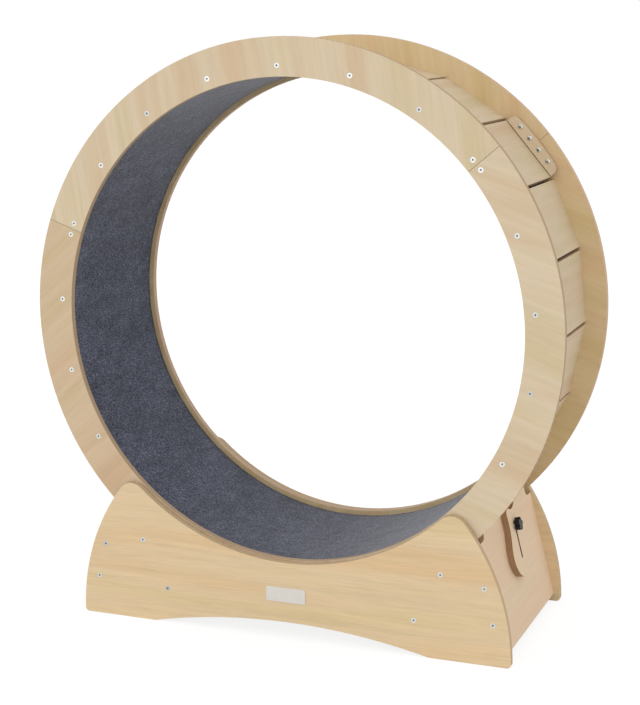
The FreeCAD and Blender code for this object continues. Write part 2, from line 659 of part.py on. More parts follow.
def side_panel(label, place):
    """A side panel with its inner face at y = 0 and its outer face towards -Y."""
    body = doc.addObject("PartDesign::Body", label)
    sketch = new_sketch(body, label + "_sketch")
    half, arch = value("panel_half"), value("arch_half")
    seat_centre, seat_radius = spot("0", "centre_height"), value("seat_radius")
    flank_centre = spot("flank_x", "Sizes.flank_rise")
    left_centre = V(-flank_centre.x, flank_centre.y, 0)
    peak = circle_meeting(seat_centre, seat_radius, flank_centre, value("Sizes.flank_radius"))
    left_peak = V(-peak.x, peak.y, 0)
    arch_centre = spot("0", "Sizes.arch_height - arch_radius")
    feet = [V(-half, 0, 0), V(-arch, 0, 0), V(arch, 0, 0), V(half, 0, 0)]
    left_foot, arch_n, right_foot, right_flank, seat, left_flank = outline(sketch, [
        (line(feet[0], feet[1]), 1, "Coincident"),
        (arc(arch_centre, feet[2], feet[1]), -1, "Coincident"),
        (line(feet[2], feet[3]), 1, "Coincident"),
        (arc(flank_centre, feet[3], peak), 1, "Coincident"),
        (arc(seat_centre, left_peak, peak), -1, "Coincident"),
        (arc(left_centre, left_peak, feet[0]), 1, "Coincident")])
    fix_point(sketch, left_foot, START, "-panel_half", "0")
    fix_point(sketch, left_foot, END, "-arch_half", "0")
    fix_point(sketch, right_foot, START, "arch_half", "0")
    fix_point(sketch, right_foot, END, "panel_half", "0")
    dimension(sketch, "Radius", arch_n, to="arch_radius")
    fix_point(sketch, seat, CENTRE, "0", "centre_height")
    dimension(sketch, "Radius", seat, to="seat_radius")
    for flank in (right_flank, left_flank):
        dimension(sketch, "DistanceY", ORIGIN, START, flank, CENTRE, to="Sizes.flank_rise")
        dimension(sketch, "Radius", flank, to="Sizes.flank_radius")
    board = pad(body, label + "_pad", sketch, "Sizes.panel_thickness")
    peaks = round_corners(body, label + "_peaks", board, "Sizes.peak_radius", [peak, left_peak])
    round_corners(body, label + "_feet", peaks, "Sizes.foot_corner", [feet[0], feet[3]])
    spots = [(sign + x, z) for x, z in PANEL_SCREWS for sign in ("", "-")]
    drill(body, label + "_screws", spots, "screw_hole", "Sizes.panel_thickness", sink="screw_sink")
    return finish(body, label, place)


def end_panel(label, turn, stud_hole):
    """An end panel between the side panels, notched for the rings and screwed through its ends."""
    body = doc.addObject("PartDesign::Body", label + "_board")
    sketch = new_sketch(body, label + "_sketch")
    polygon(sketch, [("-end_half", "Sizes.end_rise"), ("end_half", "Sizes.end_rise"),
                     ("end_half", "notch_floor"), ("tongue_half", "notch_floor"),
                     ("tongue_half", "end_top"), ("-tongue_half", "end_top"),
                     ("-tongue_half", "notch_floor"), ("-end_half", "notch_floor")])
    board = pad(body, label + "_pad", sketch, "Sizes.end_thickness")
    heights = ("notch_floor", "end_top")
    corners = [spot(sign + "tongue_half", height) for sign in ("", "-") for height in heights]
    round_corners(body, label + "_corners", board, "Sizes.notch_corner", corners)
    if stud_hole:
        drill(body, label + "_stud_hole", [("0", "Sizes.stud_rise")], "Sizes.stud_diameter",
              "Sizes.end_thickness")
    pilots = []
    for sign, end in ((1, "-end_half"), (-1, "end_half")):
        inwards = Placement(V(0, 0, 0), Rotation(Y_AXIS, 90 * sign))
        for height in ("Sizes.end_screw_low", "Sizes.end_screw_high"):
            name = "%s_pilot_%d" % (label, len(pilots) + 1)
            pilots.append(primitive("Cylinder", name, inwards, x=end, y="-Sizes.end_thickness / 2", z=height,
                                    Radius="Sizes.screw_shank / 2", Height="panel_pilot"))
    return finish(cut(label, body, pilots), label, turn.multiply(on_end(out="-Sizes.end_thickness")))


def end_pilots(name, x, z):
    """A pilot hole in each end of what spans the stand, at (x, z)."""
    return [along_y(name + "_front_pilot", x, "-panel_inner", z, "panel_pilot", "Sizes.screw_shank / 2", 1),
            along_y(name + "_back_pilot", x, "panel_inner", z, "panel_pilot", "Sizes.screw_shank / 2", -1)]


def cross_rail(label, sign):
    x = sign + "Sizes.rail_offset"
    rail = primitive("Box", label + "_bar", x=x + " - Sizes.rail_width / 2", y="-panel_inner",
                     z="Sizes.rail_height - Sizes.rail_depth / 2", Length="Sizes.rail_width",
                     Width="2 * panel_inner", Height="Sizes.rail_depth")
    return finish(cut(label, rail, end_pilots(label, x, "Sizes.rail_height")), label)


def nameplate():
    body = doc.addObject("PartDesign::Body", "nameplate")
    sketch = new_sketch(body, "nameplate_sketch")
    corners = [("-Sizes.nameplate_length / 2", "-Sizes.nameplate_height / 2"),
               ("Sizes.nameplate_length / 2", "-Sizes.nameplate_height / 2"),
               ("Sizes.nameplate_length / 2", "Sizes.nameplate_height / 2"),
               ("-Sizes.nameplate_length / 2", "Sizes.nameplate_height / 2")]
    polygon(sketch, corners)
    plate = pad(body, "nameplate_pad", sketch, "Sizes.nameplate_thickness")
    spots = [spot(x, z) for x, z in corners]
    round_corners(body, "nameplate_corners", plate, "Sizes.nameplate_corner", spots)
    base = V(value("Sizes.nameplate_shift"), -value("panel_outer"), value("Sizes.nameplate_rise"))
    return finish(body, "nameplate", Placement(base, Rotation()))


def build_stand():
    for side, turn in SIDES.items():
        side_panel(side + "_side_panel", turn.multiply(Placement(V(0, -value("panel_inner"), 0), Rotation())))
        screws = []
        for x, z in PANEL_SCREWS:
            for sign in (1, -1):
                place = Placement(V(sign * value(x), -value("panel_outer"), value(z)), TOWARDS_BACK)
                screws.append((panel_screw, turn.multiply(place)))
        group(side + "_panel_screws", screws)
    for end, turn in ENDS.items():
        end_panel(end + "_end_panel", turn, end == "right")
        cross_rail(end + "_cross_rail", "" if end == "right" else "-")
    nameplate()


# ------------------------------------------------------------------ rollers

def roller_shaft(label, sign):
    x = sign + "roller_x"
    rod = along_y(label + "_rod", x, "-panel_inner", "roller_z", "2 * panel_inner",
                  "Sizes.shaft_diameter / 2")
    return finish(cut(label, rod, end_pilots(label, x, "roller_z")), label)


def roller(label, place):
    """A roller along Y from y = 0, with a shallow recess round the hub in each face."""
    tyre = along_y(label + "_tyre", "0", "0", "0", "Sizes.roller_width", "Sizes.roller_radius")
    tools = [along_y(label + "_bore", "0", "0", "0", "Sizes.roller_width", "shaft_bore")]
    for face, start in (("near", "0"), ("far", "Sizes.roller_width - Sizes.race_depth")):
        name = "%s_%s" % (label, face)
        recess = along_y(name + "_recess", "0", start, "0", "Sizes.race_depth", "Sizes.race_outer")
        hub = along_y(name + "_hub", "0", start, "0", "Sizes.race_depth", "Sizes.race_inner")
        tools.append(cut(name + "_race", recess, [hub]))
    return finish(cut(label, tyre, tools), label, place)


def sleeve(name, length, diameter):
    """A ring on the roller shaft, along Y from y = 0."""
    outer = along_y(name + "_outside", "0", "0", "0", length, diameter + " / 2")
    bore = along_y(name + "_bore", "0", "0", "0", length, "Sizes.shaft_diameter / 2")
    return cut(name, outer, [bore])


def build_rollers():
    spacer = sleeve("roller_spacer", "spacer_length", "Sizes.spacer_diameter")
    collar = sleeve("roller_collar", "Sizes.collar_length", "Sizes.collar_diameter")
    sleeves = []
    for end, sign in (("left", -1), ("right", 1)):
        roller_shaft(end + "_roller_shaft", "" if sign > 0 else "-")
        for side, turn in SIDES.items():
            x = sign * value("roller_x") * (1 if side == "front" else -1)

            def on_shaft(y):
                return turn.multiply(Placement(V(x, value(y), value("roller_z")), Rotation()))

            roller("%s_%s_roller" % (side, end), on_shaft("-roller_side"))
            sleeves.append((spacer, on_shaft("-panel_inner")))
            sleeves.append((collar, on_shaft("-collar_side")))
    group("roller_collars", sleeves)


# ------------------------------------------------------------------ brake

def brake_plate():
    """The sliding plate, drawn in the frame of the end panel: a round bulb, a waist and a hollow top edge."""
    body = doc.addObject("PartDesign::Body", "brake_plate")
    sketch = new_sketch(body, "brake_plate_sketch")
    bulb_centre = spot("0", "Sizes.bulb_rise")
    right_centre, left_centre = spot("waist_x", "Sizes.neck_rise"), spot("-waist_x", "Sizes.neck_rise")
    towards = right_centre - bulb_centre
    right_waist = bulb_centre + towards.normalize() * value("Sizes.bulb_radius")
    left_waist = V(-right_waist.x, right_waist.y, 0)
    right_ear, left_ear = spot("ear_x", "Sizes.brake_top"), spot("-ear_x", "Sizes.brake_top")
    right_lip, left_lip = spot("hollow_half", "Sizes.brake_top"), spot("-hollow_half", "Sizes.brake_top")
    hollow_centre = spot("0", "Sizes.brake_top - Sizes.hollow_depth + hollow_radius")
    right_arc, right_top, hollow, left_top, left_arc, bulb = outline(sketch, [
        (arc(right_centre, right_ear, right_waist), -1, "Coincident"),
        (line(right_ear, right_lip), 1, "Coincident"),
        (arc(hollow_centre, left_lip, right_lip), -1, "Coincident"),
        (line(left_lip, left_ear), 1, "Coincident"),
        (arc(left_centre, left_waist, left_ear), -1, "Tangent"),
        (arc(bulb_centre, left_waist, right_waist), 1, "Tangent")])
    fix_point(sketch, bulb, CENTRE, "0", "Sizes.bulb_rise")
    dimension(sketch, "Radius", bulb, to="Sizes.bulb_radius")
    fix_point(sketch, right_arc, CENTRE, "waist_x", "Sizes.neck_rise")
    fix_point(sketch, left_arc, CENTRE, "-waist_x", "Sizes.neck_rise")
    fix_point(sketch, right_top, END, "hollow_half", "Sizes.brake_top")
    fix_point(sketch, left_top, START, "-hollow_half", "Sizes.brake_top")
    sketch.addConstraint(Sketcher.Constraint("Horizontal", right_top))
    sketch.addConstraint(Sketcher.Constraint("Horizontal", left_top))
    dimension(sketch, "Radius", hollow, to="hollow_radius")
    board = pad(body, "brake_plate_pad", sketch, "Sizes.brake_thickness")
    round_corners(body, "brake_plate_ears", board, "Sizes.ear_corner", [right_ear, left_ear])
    slot(body)
    return finish(body, "brake_plate", on_end(out="Sizes.brake_gap"))


def slot(body):
    """The slot that the stud stands in, cut through the plate."""
    sketch = new_sketch(body, "brake_slot_sketch", "Sizes.brake_thickness")
    top, bottom, half = value("slot_top"), value("slot_bottom"), value("slot_half")
    right_line, top_arc, left_line, bottom_arc = outline(sketch, [
        (line(V(half, bottom, 0), V(half, top, 0)), 1, "Tangent"),
        (arc(V(0, top, 0), V(half, top, 0), V(-half, top, 0)), 1, "Tangent"),
        (line(V(-half, top, 0), V(-half, bottom, 0)), 1, "Tangent"),
        (arc(V(0, bottom, 0), V(-half, bottom, 0), V(half, bottom, 0)), 1, "Tangent")])
    fix_point(sketch, top_arc, CENTRE, "0", "slot_top")
    fix_point(sketch, bottom_arc, CENTRE, "0", "slot_bottom")
    dimension(sketch, "Radius", top_arc, to="slot_half")
    pocket = body.newObject("PartDesign::Pocket", "brake_slot")
    pocket.Profile = sketch
    pocket.Type = "ThroughAll"


def on_stud(out):
    """A place on the stud's axis, with +Z out of the end panel."""
    return on_end(out=out, up="Sizes.stud_rise").multiply(Placement(V(0, 0, 0), TOWARDS_BACK))


def stud():
    head_start = "-Sizes.end_thickness - Sizes.stud_head_thickness"
    head = primitive("Cylinder", "stud_head", z=head_start, Radius="Sizes.stud_head / 2",
                     Height="Sizes.stud_head_thickness")
    rod = primitive("Cylinder", "stud_rod", z="-Sizes.end_thickness", Radius="Sizes.stud_diameter / 2",
                    Height="Sizes.end_thickness + stud_end")
    return finish(fuse("brake_stud", [head, rod]), "brake_stud", on_stud("0"))


def washer(name, thickness):
    disc = primitive("Cylinder", name + "_disc", Radius="Sizes.washer_diameter / 2", Height=thickness)
    hole = primitive("Cylinder", name + "_hole", Radius="Sizes.stud_diameter / 2", Height=thickness)
    return cut(name, disc, [hole])


def knob():
    """The lobed knob, standing on its base, with a blind bore for the stud."""
    pieces = [primitive("Cylinder", "knob_hub", Radius="Sizes.knob_waist / 2", Height="Sizes.knob_height")]
    lobes = round(value("Sizes.knob_lobes"))
    for k in range(lobes):
        angle = "%d * 360 / Sizes.knob_lobes" % k
        pieces.append(primitive("Cylinder", "knob_lobe_%d" % (k + 1), x="lobe_orbit * cos(%s)" % angle,
                                y="lobe_orbit * sin(%s)" % angle, Radius="Sizes.lobe_radius",
                                Height="Sizes.knob_height"))
    bore = primitive("Cylinder", "knob_bore_tool", Radius="Sizes.stud_diameter / 2 + Sizes.bore_clearance",
                     Height="knob_bore")
    return finish(cut("brake_knob", fuse("knob_solid", pieces), [bore]), "brake_knob", on_stud("knob_base"))


def build_brake():
    brake_plate()
    stud()
    inner = washer("inner_washer", "Sizes.brake_gap - Sizes.end_play")
    outer = washer("outer_washer", "Sizes.washer_thickness")
    group("brake_washers", [(inner, on_stud("0")), (outer, on_stud("brake_face"))])
    knob()


# ------------------------------------------------------------------ the document, checked and written

def check(thing):
    """Stop if an object failed to compute."""
    for state in ("Invalid", "Error"):
        if state in thing.State:
            raise RuntimeError("%s is %s" % (thing.Label, state))


def write_parts():
    for thing in doc.Objects:
        check(thing)
    os.makedirs("parts", exist_ok=True)
    for thing in subparts:
        if thing.Shape.isNull() or not thing.Shape.isValid():
            raise RuntimeError("%s has no valid shape" % thing.Label)
    for thing in subparts:
        thing.Shape.exportStep("parts/%s.step" % thing.Label)
        print("%-24s solids %2d  volume %10.1f" % (thing.Label, len(thing.Shape.Solids), thing.Shape.Volume))


build_wheel()
build_stand()
build_rollers()
build_brake()
doc.recompute()
write_parts()
print(len(subparts), "sub-parts")
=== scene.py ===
"""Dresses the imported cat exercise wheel: birch plywood, a felt lining, zinc screws and a black knob.

Metres, in the part's own frame: X to the right, Y from front to back, Z up, with the origin on the floor.
Colours are written as they look on a screen, from 0 to 255.
"""
import json
import math
import bmesh
import bpy
from mathutils import Matrix, Vector, noise

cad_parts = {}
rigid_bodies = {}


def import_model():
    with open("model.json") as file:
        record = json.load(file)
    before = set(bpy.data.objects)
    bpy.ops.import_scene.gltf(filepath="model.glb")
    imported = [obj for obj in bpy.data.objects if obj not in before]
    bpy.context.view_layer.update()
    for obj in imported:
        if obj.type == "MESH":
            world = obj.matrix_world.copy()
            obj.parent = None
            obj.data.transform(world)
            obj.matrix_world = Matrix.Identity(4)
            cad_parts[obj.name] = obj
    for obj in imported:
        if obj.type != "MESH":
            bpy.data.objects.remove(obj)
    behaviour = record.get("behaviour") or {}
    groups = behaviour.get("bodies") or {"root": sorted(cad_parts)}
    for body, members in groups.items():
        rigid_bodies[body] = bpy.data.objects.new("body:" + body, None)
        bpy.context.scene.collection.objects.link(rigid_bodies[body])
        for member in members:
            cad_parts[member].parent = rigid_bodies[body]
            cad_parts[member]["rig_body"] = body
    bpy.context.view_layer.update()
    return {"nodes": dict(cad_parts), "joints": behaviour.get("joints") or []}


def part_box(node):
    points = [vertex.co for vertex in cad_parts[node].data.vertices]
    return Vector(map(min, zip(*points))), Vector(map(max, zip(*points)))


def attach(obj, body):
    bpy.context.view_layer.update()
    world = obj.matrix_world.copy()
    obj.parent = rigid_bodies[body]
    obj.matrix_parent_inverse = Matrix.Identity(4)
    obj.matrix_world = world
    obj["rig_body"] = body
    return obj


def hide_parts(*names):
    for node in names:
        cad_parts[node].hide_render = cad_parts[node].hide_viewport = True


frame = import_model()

MM = 0.001
X, Y = Vector((1, 0, 0)), Vector((0, 1, 0))
AXES = {joint["name"]: Vector(joint["axis"]) for joint in frame["joints"]}
JOINTS_AT = {joint["name"]: Vector(joint["pos_m"]) for joint in frame["joints"] if "pos_m" in joint}
HUB = JOINTS_AT["wheel_spin"]
BRAKE_NORMAL = AXES["knob_turn"]
BRAKE_SLOPE = AXES["brake_slide"]

# Camera, as the photograph was taken
CAMERA_PLACE = Vector((1.1013, -2.7442, 1.0910))
CAMERA_AZIMUTH = 21.94
CAMERA_ELEVATION = 11.38
CAMERA_ROLL = -0.65
CAMERA_LENS = 82.55
CAMERA_SENSOR = 36.0

# Light
WORLD_STRENGTH = 0.80
KEY_STRENGTH = 0.60
KEY_FROM = (-30, 24)
FILL_STRENGTH = 0.30
FILL_FROM = (65, 22)
LAMP_SPREAD = 70

# Meshes
SAME_POINT = 1e-6
SAME_PLANE = math.radians(0.1)
EASE = 0.5 * MM
RAIL_EASE = 2 * MM
PLATE_EASE = 0.35 * MM
EASED_ABOVE = math.radians(60)
SHARP = math.radians(20)
# How squarely a board's face looks along its normal, before its edges are broken and after
BOARD_FACE = 0.9
FLAT = 0.999

# Wood
PLY_THICKNESS = 12 * MM
PLY_LAYERS = 9
RING_SEGMENTS = 3
# Seeds and steps that set the grain of one board apart from the next
SIDE_STEP = 10
RING_STEP = 1.7
JOINER_SEED, JOINER_STEP = 30, 2.3
SLAT_SEED, SLAT_STEP = 60, 1.3
SIDE_PANEL_SEED, SIDE_PANEL_STEP = 5.2, 3.1
END_PANEL_SEED, END_PANEL_STEP = 13.4, 2.7
RAIL_SEED = 41.0
BRAKE_SEED = 77.7
# The grain wavers slowly, and its marks are noise stretched along it, across it and by seed
WAVER_ALONG = 2.4
WAVER_ACROSS = 6.0
WAVER_REACH = 0.03
BROAD_STRETCH = (1.3, 17, 1)
BAND_STRETCH = (2.6, 95, 1)
STREAK_STRETCH = (17, 330, 1)
PORE_STRETCH = (38, 1500, 1)
VENEER_STOPS = (0.33, 0.50, 0.66)
LAYER_SHIFT = 3.7
PATCH_SCALE = 9
FIBRE_SCALE = 60
# Spreads: from and to in a level, then from and to in what it sets
BAND_SHADE = (0.30, 0.70, 0.945, 1.030)
STREAK_SHADE = (0.25, 0.62, 0.940, 1.012)
PORE_SHADE = (0.25, 0.75, 0.975, 1.018)
WOOD_ROUGHNESS = (0.3, 0.7, 0.52, 0.62)
GLUE_SHARE = (0.40, 0.5, 0.0, 0.55)
PATCH_SHADE = (0.3, 0.7, 0.93, 1.07)
FIBRE_SHADE = (0.3, 0.7, 0.95, 1.05)
# Each veneer has a warm, a pale and a yellow tone
BIRCH = [(216, 190, 156), (223, 204, 174), (214, 195, 156)]
# A darker birch for the slats: painted shade, where the rings shade them
PAINTED_SHADE_BIRCH = [(207, 181, 147), (213, 194, 164), (205, 186, 148)]
WARM_BIRCH = [(209, 179, 143), (216, 191, 159), (206, 183, 142)]
GOLDEN_BIRCH = [(217, 186, 143), (222, 198, 156), (214, 189, 141)]
PANEL_BIRCH = [(230, 198, 153), (231, 206, 167), (227, 202, 156)]
PINK_BIRCH = [(231, 201, 168), (231, 205, 174), (228, 204, 168)]
PINE = [(196, 168, 128), (208, 184, 146), (202, 176, 130)]
# The tones of the layers in a board's edge, and the line of glue between them
PALE_LAYERS = [(202, 175, 143), (172, 144, 114), (134, 104, 75)]
# Lighter layers for the back ring's edges: painted light, where light from the right falls on them
BACK_RING_PAINTED_LIGHT_LAYERS = [(224, 194, 166), (200, 168, 141), (156, 122, 94)]
# Lighter layers for the stand's edges: painted light, where these edges face the light
PAINTED_LIGHT_STAND_LAYERS = [(216, 189, 151), (190, 163, 127), (150, 122, 89)]
BROWN_LAYERS = [(180, 145, 110), (148, 115, 83), (110, 79, 52)]
# Painted shade: the dark brown of the walls inside the brake plate's slot
PAINTED_SLOT_SHADE = (92, 62, 40)

# Felt lining
FELT_THICKNESS = 4.7 * MM
FELT_STEP = 4 * MM
FELT_ROUND = 1.6 * MM
FELT_INSET = 2.2 * MM
# The felt is painted darker along its edges, as shade where it meets the rings, over this width
FELT_EDGE_SHADE_WIDTH = 3.2 * MM
FELT_TONES = [(47, 51, 64), (81, 85, 100), (126, 128, 142)]
FELT_STOPS = (0.34, 0.50, 0.66)
FELT_STRETCH = (1, 0.38, 1)
CLOUD_SCALE = 13
BLOTCH_SCALE = 48
TUFT_SCALE, TUFT_SHARE = 480, 0.55
FLECK_SCALE, FLECK_SHARE = 950, 0.45
CLOUD_SHADE = (0.32, 0.68, 0.88, 1.13)
BLOTCH_SHADE = (0.32, 0.68, 0.80, 1.22)
# Grey levels of that painted edge shade: inside it, then at the edge
PAINTED_EDGE_SHADE = (1.0, 0.5)
CORNER_STEPS = 4
# The uneven nap: the scale of its noise, and its size in millimetres
NAP = ((90, 0.35), (260, 0.30))

# Metal, plastic and rubber
MARK_SCALE = 900
BATCH_SCALE = 5
BATCH_SHADE = (0.36, 0.60, 0.74, 1.04)
SKIN_SCALE = 1500
WEAR_SCALE = 60
WEAR_RANGE = (0.3, 0.7)

# Screws: a recess is no deeper than this, its floor lies deeper than this, and then how squarely the
# walls and the floor look along Y: the walls less, the floor more
RECESS_DEPTH = 1.7 * MM
RECESS_FLOOR = 1.4 * MM
WALL_FACING = 0.3
FLOOR_FACING = 0.98

# Rollers: a plastic hub with a sunk web, and a rubber tyre with a rounded tread
TREAD_ROUND = 1.1 * MM
TREAD_EASE = 0.3
HUB_BORE = 4.05 * MM
HUB_BOSS = 5.8 * MM
HUB_WEB = 8.6 * MM
HUB_RIM = 9.2 * MM
HUB_SUNK = 1.2 * MM
HUB_LIP = 0.3 * MM
TYRE_FROM = 8.9 * MM

# Brake
SLOT_HALF_WIDTH = 3.5 * MM
SLOT_HALF_LENGTH = 40 * MM
SLOT_BELOW_KNOB = 35 * MM
KNOB_SIDES = 180
KNOB_LOBES = 5
KNOB_RADIUS = 12.5 * MM
KNOB_WAIST = 9.2 * MM
KNOB_CAP = 6 * MM
LOBE_RADIUS = 4.4 * MM
# The knob's outline from its bore out, up, in to its sunk cap and back, as (radius, height) in millimetres
KNOB_PROFILE = [(3.05, 0), (11.7, 0), (12.3, 0.35), (12.5, 1.0), (12.5, 7.9), (12.2, 9.0), (11.5, 9.7),
                (10.6, 10), (8.9, 10), (5.6, 9.6), (5.2, 9.2), (4.9, 9.7), (0.3, 9.8), (0.3, 7.5),
                (3.05, 7.5)]

# Floor
FLOOR_SIZE = 60
FLOOR_DROP = 0.3 * MM
FLOOR_WHITE = 0.80
FLOOR_SHADE = 0.22
FLOOR_GLOW = 0.85


def srgb(colour):
    """A screen colour from 0 to 255 as the linear colour that a shader takes."""
    linear = []
    for level in colour:
        share = level / 255
        linear.append(share / 12.92 if share <= 0.04045 else ((share + 0.055) / 1.055) ** 2.4)
    return (*linear, 1.0)


# ------------------------------------------------------------------ materials

class Paint:
    """A material whose node tree is written as calls. A socket given as a value is linked."""

    def __init__(self, name):
        self.material = bpy.data.materials.new(name)
        self.material.use_nodes = True
        self.tree = self.material.node_tree
        self.tree.nodes.clear()

    def node(self, kind, values=(), **settings):
        made = self.tree.nodes.new("ShaderNode" + kind)
        for key, setting in settings.items():
            setattr(made, key, setting)
        for key, value in dict(values).items():
            self.give(made.inputs[key], value)
        return made

    def give(self, socket, value):
        """Link a socket to another one, or set its value."""
        if isinstance(value, bpy.types.NodeSocket):
            self.tree.links.new(value, socket)
        else:
            socket.default_value = value

    def position(self):
        """The place on the piece at rest."""
        return self.node("TexCoord").outputs["Object"]

    def math(self, operation, first, second=0.0, third=0.0):
        made = self.node("Math", {0: first, 1: second, 2: third}, operation=operation)
        return made.outputs[0]

    def dot(self, vector, direction):
        made = self.node("VectorMath", {0: vector, 1: direction}, operation="DOT_PRODUCT")
        return made.outputs["Value"]

    def vector(self, x, y, z):
        return self.node("CombineXYZ", {0: x, 1: y, 2: z}).outputs[0]

    def stretched(self, vector, scale):
        made = self.node("VectorMath", {0: vector, 1: scale}, operation="MULTIPLY")
        return made.outputs[0]

    def noise(self, vector, scale=1.0, detail=2.0, roughness=0.5, distortion=0.0):
        values = {"Vector": vector, "Scale": scale, "Detail": detail, "Roughness": roughness,
                  "Distortion": distortion}
        return self.node("TexNoise", values).outputs[0]

    def ramp(self, level, stops):
        """Colours along a level: a list of (level, screen colour)."""
        made = self.node("ValToRGB", {0: level})
        elements = made.color_ramp.elements
        while len(elements) < len(stops):
            elements.new(0.5)
        for element, (place, colour) in zip(elements, stops):
            element.position = place
            element.color = srgb(colour)
        return made.outputs[0]

    def levels(self, level, low, high, out_low, out_high):
        """Spread the levels from low to high over out_low to out_high."""
        values = {0: level, 1: low, 2: high, 3: out_low, 4: out_high}
        return self.node("MapRange", values).outputs[0]

    def mix(self, share, first, second):
        made = self.node("Mix", data_type="RGBA")
        colours = [socket for socket in made.inputs if socket.type == "RGBA"]
        for socket, value in zip([made.inputs[0], *colours], [share, first, second]):
            self.give(socket, value)
        return [socket for socket in made.outputs if socket.type == "RGBA"][0]

    def shade(self, colour, level):
        """The colour times a grey level."""
        made = self.node("VectorMath", {0: colour, "Scale": level}, operation="SCALE")
        return made.outputs[0]

    def worn(self, marks, colour, roughness, darkest, spread):
        """A tint and a roughness that vary together with the marks."""
        low, high = WEAR_RANGE
        tint = self.ramp(marks, [(low, tuple(level * darkest for level in colour)), (high, colour)])
        rough = self.levels(marks, low, high, roughness * (1 - spread), roughness * (1 + spread))
        return tint, rough

    def finish(self, colour, roughness, height=None, depth=0, **sockets):
        """The shader. Height is the bump, and depth is its size."""
        values = {"Base Color": colour, "Roughness": roughness}
        values.update({key.replace("_", " ").capitalize(): value for key, value in sockets.items()})
        if height is not None:
            bump = self.node("Bump", {"Height": height, "Strength": 1.0, "Distance": depth})
            values["Normal"] = bump.outputs[0]
        shader = self.node("BsdfPrincipled")
        for key, value in values.items():
            socket = [s for s in shader.inputs if s.name.lower() == key.lower()][0]
            self.give(socket, value)
        self.node("OutputMaterial", {0: shader.outputs[0]})
        return self.material


def veneer(name, along, across, seed, palette, figure=1.0):
    """The face of a board whose grain runs along one direction. Figure is how strong its grain looks."""
    paint = Paint(name)
    place = paint.position()
    u, v = paint.dot(place, along), paint.dot(place, across)
    along_slow, across_slow = paint.math("MULTIPLY", u, WAVER_ALONG), paint.math("MULTIPLY", v, WAVER_ACROSS)
    waver = paint.noise(paint.vector(along_slow, across_slow, seed))
    v = paint.math("MULTIPLY_ADD", waver, WAVER_REACH, v)
    grain = paint.vector(u, v, seed)
    broad = paint.noise(paint.stretched(grain, BROAD_STRETCH), detail=3, roughness=0.55)
    bands = paint.noise(paint.stretched(grain, BAND_STRETCH), detail=3, roughness=0.6)
    streaks = paint.noise(paint.stretched(grain, STREAK_STRETCH), detail=2, distortion=0.6)
    pores = paint.noise(paint.stretched(grain, PORE_STRETCH), detail=2)
    colour = paint.ramp(broad, list(zip(VENEER_STOPS, palette)))
    level = paint.levels(bands, *BAND_SHADE)
    level = paint.math("MULTIPLY", level, paint.levels(streaks, *STREAK_SHADE))
    level = paint.math("MULTIPLY", level, paint.levels(pores, *PORE_SHADE))
    level = paint.math("MULTIPLY_ADD", level, figure, 1 - figure)
    colour = paint.shade(colour, level)
    rough = paint.levels(bands, *WOOD_ROUGHNESS)
    return paint.finish(colour, rough, height=pores, depth=0.06 * MM, specular_ior_level=0.35)


def layers(name, normal, middle, seed, palette):
    """The edge of a plywood board: thin layers between its two faces, with a line of glue between each pair.

    Middle is how far along the normal the board's middle lies."""
    paint = Paint(name)
    place = paint.position()
    depth = paint.math("SUBTRACT", paint.dot(place, normal), middle)
    depth = paint.math("MULTIPLY_ADD", depth, PLY_LAYERS / PLY_THICKNESS, PLY_LAYERS / 2)
    layer = paint.math("FLOOR", depth)
    odd = paint.math("FLOORED_MODULO", layer, 2.0)
    off_middle = paint.math("ABSOLUTE", paint.math("SUBTRACT", paint.math("SUBTRACT", depth, layer), 0.5))
    pale, dark, glue = palette
    colour = paint.mix(odd, srgb(pale), srgb(dark))
    colour = paint.mix(paint.levels(off_middle, *GLUE_SHARE), colour, srgb(glue))
    shift = paint.vector(layer, paint.math("MULTIPLY", layer, LAYER_SHIFT), seed)
    scaled = paint.stretched(place, (PATCH_SCALE, PATCH_SCALE, PATCH_SCALE))
    moved = paint.node("VectorMath", {0: scaled, 1: shift}, operation="ADD").outputs[0]
    patches = paint.noise(moved, detail=2)
    fibres = paint.noise(moved, scale=FIBRE_SCALE, detail=2)
    level = paint.levels(patches, *PATCH_SHADE)
    level = paint.math("MULTIPLY", level, paint.levels(fibres, *FIBRE_SHADE))
    colour = paint.shade(colour, level)
    return paint.finish(colour, 0.72, height=fibres, depth=0.08 * MM, specular_ior_level=0.25)


def felt(half_width):
    """Speckled blue-grey needle felt, painted darker along its cut edges as shade where they meet the rings.

    Its fibres lie across the band and shine at a low angle."""
    paint = Paint("needle_felt")
    place = paint.stretched(paint.position(), FELT_STRETCH)
    cloud = paint.noise(place, scale=CLOUD_SCALE, detail=2)
    blotch = paint.noise(place, scale=BLOTCH_SCALE, detail=4, roughness=0.65)
    tuft = paint.noise(place, scale=TUFT_SCALE, detail=1)
    fleck = paint.noise(place, scale=FLECK_SCALE, detail=1)
    level = paint.math("MULTIPLY_ADD", tuft, TUFT_SHARE, paint.math("MULTIPLY", fleck, FLECK_SHARE))
    colour = paint.ramp(level, list(zip(FELT_STOPS, FELT_TONES)))
    shade = paint.levels(cloud, *CLOUD_SHADE)
    shade = paint.math("MULTIPLY", shade, paint.levels(blotch, *BLOTCH_SHADE))
    # Painted shade along the felt's edges, where it meets the rings
    off_middle = paint.math("ABSOLUTE", paint.dot(paint.position(), Y))
    low, high = half_width - 2 * FELT_EDGE_SHADE_WIDTH, half_width - FELT_EDGE_SHADE_WIDTH
    painted_edge_shading = paint.levels(off_middle, low, high, *PAINTED_EDGE_SHADE)
    shade = paint.math("MULTIPLY", shade, painted_edge_shading)
    colour = paint.shade(colour, shade)
    return paint.finish(colour, 1.0, height=level, depth=0.5 * MM, specular_ior_level=0.1, sheen_weight=0.6,
                        sheen_roughness=0.35)


